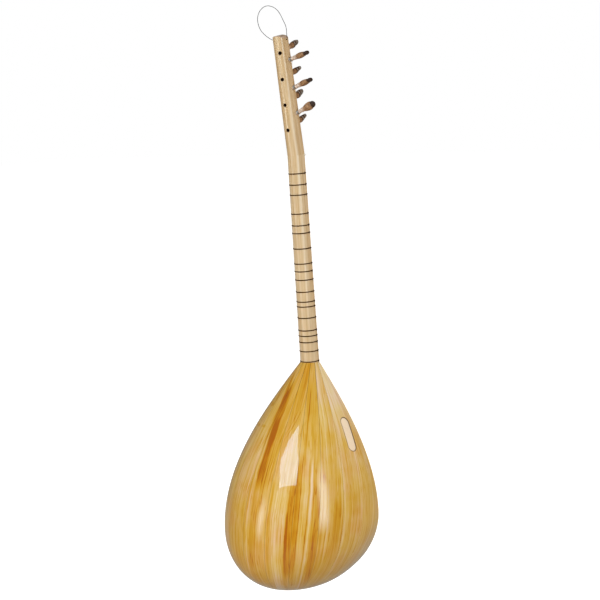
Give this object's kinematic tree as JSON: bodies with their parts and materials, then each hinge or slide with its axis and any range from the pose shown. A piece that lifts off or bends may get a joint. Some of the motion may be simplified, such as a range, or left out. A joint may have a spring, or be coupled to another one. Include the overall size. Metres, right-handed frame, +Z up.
{
  "type": "long-necked lute",
  "caption": "Short-necked baglama (saz): pear-shaped staved bowl, flat soundboard, slim neck with tied frets, straight head with front and side pegs, wire hanging loop.",
  "frame": {"origin": "the crown of the wire loop that the lute hangs by", "axes": "+Z up, along the hanging lute towards its head; -Y towards the strings and soundboard, +Y towards the bowl's back; +X to the side without pegs"},
  "size_m": [0.2854, 0.2362, 1.0831],
  "materials": {
    "varnished_staves_amber": "gloss varnish",
    "varnished_staves_pale": "gloss varnish",
    "neck_wood": "satin varnish",
    "plate_wood": "bare",
    "soundboard_spruce": "satin varnish",
    "inner_wood": "bare",
    "hardwood": "satin",
    "peg_wood": "satin",
    "bone": "satin",
    "nylon": "gloss",
    "steel": "bright"
  },
  "bodies": {
    "lute": {"rib_1": "varnished_staves_amber", "rib_2": "varnished_staves_amber", "rib_3": "varnished_staves_pale", "rib_4": "varnished_staves_amber", "rib_5": "varnished_staves_amber", "rib_6": "varnished_staves_pale", "rib_7": "varnished_staves_amber", "rib_8": "varnished_staves_pale", "rib_9": "varnished_staves_pale", "rib_10": "varnished_staves_pale", "rib_11": "varnished_staves_pale", "side_plate": "plate_wood", "soundboard_left": "soundboard_spruce", "soundboard_right": "soundboard_spruce", "neck_block": "inner_wood", "tail_block": "inner_wood", "tail_clasp": "hardwood", "neck": "neck_wood", "nut": "bone", "head": "neck_wood", "bridge": "hardwood", "lower_saddle": "bone", "string_holder": "hardwood", "strings_treble": "steel", "strings_middle": "steel", "strings_bass": "steel", "hanging_wire": "steel"},
    "peg_1": {"peg_1": "peg_wood", "string_winding_1": "steel"},
    "peg_2": {"peg_2": "peg_wood", "string_winding_2": "steel"},
    "peg_3": {"peg_3": "peg_wood", "string_winding_3": "steel"},
    "peg_4": {"peg_4": "peg_wood", "string_winding_4": "steel"},
    "peg_5": {"peg_5": "peg_wood", "string_winding_5": "steel"},
    "peg_6": {"peg_6": "peg_wood", "string_winding_6": "steel"},
    "peg_7": {"peg_7": "peg_wood", "string_winding_7": "steel"},
    "fret_1": {"fret_1": "nylon"},
    "fret_2": {"fret_2": "nylon"},
    "fret_3": {"fret_3": "nylon"},
    "fret_4": {"fret_4": "nylon"},
    "fret_5": {"fret_5": "nylon"},
    "fret_6": {"fret_6": "nylon"},
    "fret_7": {"fret_7": "nylon"},
    "fret_8": {"fret_8": "nylon"},
    "fret_9": {"fret_9": "nylon"},
    "fret_10": {"fret_10": "nylon"},
    "fret_11": {"fret_11": "nylon"},
    "fret_12": {"fret_12": "nylon"},
    "fret_13": {"fret_13": "nylon"},
    "fret_14": {"fret_14": "nylon"},
    "fret_15": {"fret_15": "nylon"},
    "fret_16": {"fret_16": "nylon"},
    "fret_17": {"fret_17": "nylon"},
    "fret_18": {"fret_18": "nylon"},
    "fret_19": {"fret_19": "nylon"}
  },
  "joints": [
    {"name": "peg_1_turn", "type": "hinge", "parent": "lute", "child": "peg_1", "pos_m": [-0.0177, -0.02871, -0.07834], "axis": [0.086, -0.9473, 0.3085], "continuous": true},
    {"name": "peg_2_turn", "type": "hinge", "parent": "lute", "child": "peg_2", "pos_m": [-0.0156, -0.03566, -0.12482], "axis": [0.0861, -0.95, 0.3001], "continuous": true},
    {"name": "peg_3_turn", "type": "hinge", "parent": "lute", "child": "peg_3", "pos_m": [-0.0144, -0.04231, -0.16933], "axis": [0.0853, -0.933, 0.3497], "continuous": true},
    {"name": "peg_4_turn", "type": "hinge", "parent": "lute", "child": "peg_4", "pos_m": [-0.0138, -0.04904, -0.21433], "axis": [0.0853, -0.933, 0.3497], "continuous": true},
    {"name": "peg_5_turn", "type": "hinge", "parent": "lute", "child": "peg_5", "pos_m": [-0.02752, -0.02496, -0.0972], "axis": [-0.9659, 0.0383, 0.256], "continuous": true},
    {"name": "peg_6_turn", "type": "hinge", "parent": "lute", "child": "peg_6", "pos_m": [-0.02793, -0.03247, -0.14744], "axis": [-0.9483, 0.0469, 0.3138], "continuous": true},
    {"name": "peg_7_turn", "type": "hinge", "parent": "lute", "child": "peg_7", "pos_m": [-0.02829, -0.03924, -0.19274], "axis": [-0.9272, 0.0554, 0.3705], "continuous": true},
    {"name": "fret_1_slide", "type": "slide", "parent": "lute", "child": "fret_1", "axis": [0, 0.0262, 0.9997], "range_m": [-0.0015, 0.0015]},
    {"name": "fret_2_slide", "type": "slide", "parent": "lute", "child": "fret_2", "axis": [0, 0.0262, 0.9997], "range_m": [-0.0015, 0.0015]},
    {"name": "fret_3_slide", "type": "slide", "parent": "lute", "child": "fret_3", "axis": [0, 0.0262, 0.9997], "range_m": [-0.0015, 0.0015]},
    {"name": "fret_4_slide", "type": "slide", "parent": "lute", "child": "fret_4", "axis": [0, 0.0262, 0.9997], "range_m": [-0.0015, 0.0015]},
    {"name": "fret_5_slide", "type": "slide", "parent": "lute", "child": "fret_5", "axis": [0, 0.0262, 0.9997], "range_m": [-0.0015, 0.0015]},
    {"name": "fret_6_slide", "type": "slide", "parent": "lute", "child": "fret_6", "axis": [0, 0.0262, 0.9997], "range_m": [-0.0015, 0.0015]},
    {"name": "fret_7_slide", "type": "slide", "parent": "lute", "child": "fret_7", "axis": [0, 0.0262, 0.9997], "range_m": [-0.0015, 0.0015]},
    {"name": "fret_8_slide", "type": "slide", "parent": "lute", "child": "fret_8", "axis": [0, 0.0262, 0.9997], "range_m": [-0.0015, 0.0015]},
    {"name": "fret_9_slide", "type": "slide", "parent": "lute", "child": "fret_9", "axis": [0, 0.0262, 0.9997], "range_m": [-0.0015, 0.0015]},
    {"name": "fret_10_slide", "type": "slide", "parent": "lute", "child": "fret_10", "axis": [0, 0.0262, 0.9997], "range_m": [-0.0015, 0.0015]},
    {"name": "fret_11_slide", "type": "slide", "parent": "lute", "child": "fret_11", "axis": [0, 0.0262, 0.9997], "range_m": [-0.0015, 0.0015]},
    {"name": "fret_12_slide", "type": "slide", "parent": "lute", "child": "fret_12", "axis": [0, 0.0262, 0.9997], "range_m": [-0.0015, 0.0015]},
    {"name": "fret_13_slide", "type": "slide", "parent": "lute", "child": "fret_13", "axis": [0, 0.0262, 0.9997], "range_m": [-0.0015, 0.0015]},
    {"name": "fret_14_slide", "type": "slide", "parent": "lute", "child": "fret_14", "axis": [0, 0.0262, 0.9997], "range_m": [-0.0015, 0.0015]},
    {"name": "fret_15_slide", "type": "slide", "parent": "lute", "child": "fret_15", "axis": [0, 0.0262, 0.9997], "range_m": [-0.0015, 0.0015]},
    {"name": "fret_16_slide", "type": "slide", "parent": "lute", "child": "fret_16", "axis": [0, 0.0262, 0.9997], "range_m": [-0.0015, 0.0015]},
    {"name": "fret_17_slide", "type": "slide", "parent": "lute", "child": "fret_17", "axis": [0, 0.0262, 0.9997], "range_m": [-0.0015, 0.0015]},
    {"name": "fret_18_slide", "type": "slide", "parent": "lute", "child": "fret_18", "axis": [0, 0.0262, 0.9997], "range_m": [-0.0015, 0.0015]},
    {"name": "fret_19_slide", "type": "slide", "parent": "lute", "child": "fret_19", "axis": [0, 0.0262, 0.9997], "range_m": [0, 0.0015]}
  ]
}
